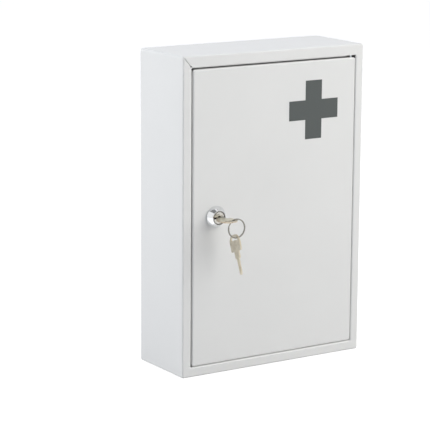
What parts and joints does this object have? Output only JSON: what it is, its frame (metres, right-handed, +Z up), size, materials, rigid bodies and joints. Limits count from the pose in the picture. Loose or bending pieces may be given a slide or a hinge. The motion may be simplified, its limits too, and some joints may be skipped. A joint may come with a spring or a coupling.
{
  "type": "lockable medicine cabinet",
  "caption": "Small wall-hung sheet-steel medicine cabinet with an inset hinged door, a plain cross, a cam lock, shelves, and a key and spare key on a ring.",
  "frame": {"origin": "centre of the casing's bottom face", "axes": "+X to the right seen from the front, +Y towards the wall, +Z up; the door faces -Y"},
  "size_m": [0.215, 0.1173, 0.32],
  "materials": {
    "painted_steel": "light grey-white powder coat, satin, very fine texture",
    "cross_film": "thin matt grey film",
    "zinc_steel": "bright zinc plated",
    "washer_nylon": "natural nylon",
    "buffer_rubber": "black rubber",
    "bezel_chrome": "polished chrome",
    "lock_nickel": "nickel plated",
    "wafer_brass": "plain brass",
    "key_nickel": "nickel plated, warm and a little dull",
    "ring_steel": "spring steel wire"
  },
  "bodies": {
    "cabinet": {"casing": "painted_steel", "back_panel": "painted_steel", "shelf_1": "painted_steel", "shelf_2": "painted_steel", "hinge_bracket_upper": "painted_steel", "hinge_bracket_lower": "painted_steel", "hinge_pin_upper": "zinc_steel", "hinge_pin_lower": "zinc_steel", "hinge_washer": "washer_nylon", "door_stop_upper": "painted_steel", "door_stop_lower": "painted_steel", "buffer_upper": "buffer_rubber", "buffer_lower": "buffer_rubber"},
    "door": {"door_panel": "painted_steel", "cross_decal": "cross_film", "lock_bezel": "bezel_chrome", "lock_housing": "lock_nickel", "lock_washer": "zinc_steel", "lock_nut": "zinc_steel"},
    "lock_core": {"lock_plug": "lock_nickel", "lock_wafers": "wafer_brass", "lock_cam": "zinc_steel", "cam_washer": "zinc_steel", "cam_screw": "zinc_steel"},
    "key": {"key": "key_nickel"},
    "ring": {"key_ring": "ring_steel"},
    "spare": {"spare_key": "key_nickel"}
  },
  "joints": [
    {"name": "door_hinge", "type": "hinge", "parent": "cabinet", "child": "door", "pos_m": [0.09325, -0.0372, 0.16], "axis": [0, 0, 1], "range_deg": [0, 110]},
    {"name": "lock_turn", "type": "hinge", "parent": "door", "child": "lock_core", "pos_m": [-0.0696, -0.04, 0.1597], "axis": [0, 1, 0], "range_deg": [0, 90]},
    {"name": "key_slide", "type": "slide", "parent": "lock_core", "child": "key", "axis": [0, -1, 0], "range_m": [0, 0.02]},
    {"name": "ring_turn", "type": "hinge", "parent": "key", "child": "ring", "pos_m": [-0.0623, -0.06665, 0.15202], "axis": [0, 1, 0], "range_deg": [-95, 95]},
    {"name": "spare_swing", "type": "hinge", "parent": "ring", "child": "spare", "pos_m": [-0.0623, -0.06665, 0.14272], "axis": [1, 0, 0], "range_deg": [-30, 30]}
  ]
}
